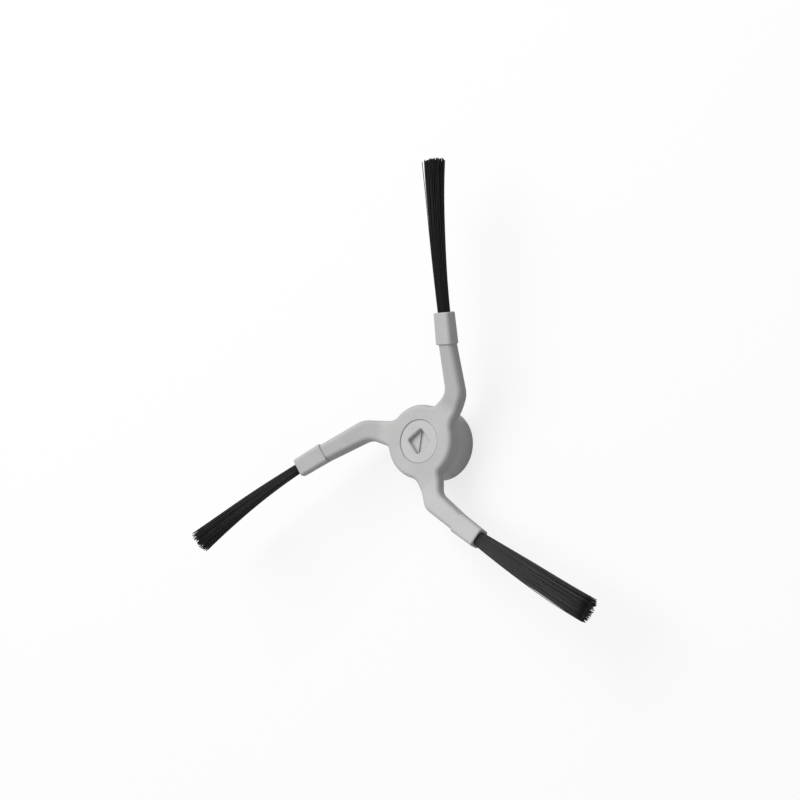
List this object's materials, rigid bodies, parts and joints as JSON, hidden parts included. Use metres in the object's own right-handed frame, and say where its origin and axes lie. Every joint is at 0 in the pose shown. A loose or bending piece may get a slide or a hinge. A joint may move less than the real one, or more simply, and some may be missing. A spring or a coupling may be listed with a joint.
{
  "type": "robot vacuum side brush",
  "caption": "Sweeping side brush: a round push-on drive hub, a soft ring with swept, drooping knee arms, and a flared bristle tuft anchored in the end of each arm.",
  "frame": {"origin": "on the hub's turning axis, in the plane of its back rim, where the square drive socket opens", "axes": "+Z along the turning axis, out of the floor-side face; +X and +Y square to the flats of the drive socket"},
  "size_m": [0.1549, 0.1559, 0.0311],
  "materials": {
    "hub_plastic": "moulded light grey hard plastic, satin",
    "arm_rubber": "moulded light grey soft elastomer, matte",
    "bristle": "black nylon filament, slightly glossy strands",
    "anchor_wire": "plain flat wire"
  },
  "bodies": {
    "root": {"drive_hub": "hub_plastic", "arm_ring": "arm_rubber", "bristle_tuft_1": "bristle", "bristle_tuft_2": "bristle", "bristle_tuft_3": "bristle", "tuft_anchor_1": "anchor_wire", "tuft_anchor_2": "anchor_wire", "tuft_anchor_3": "anchor_wire"}
  },
  "joints": []
}
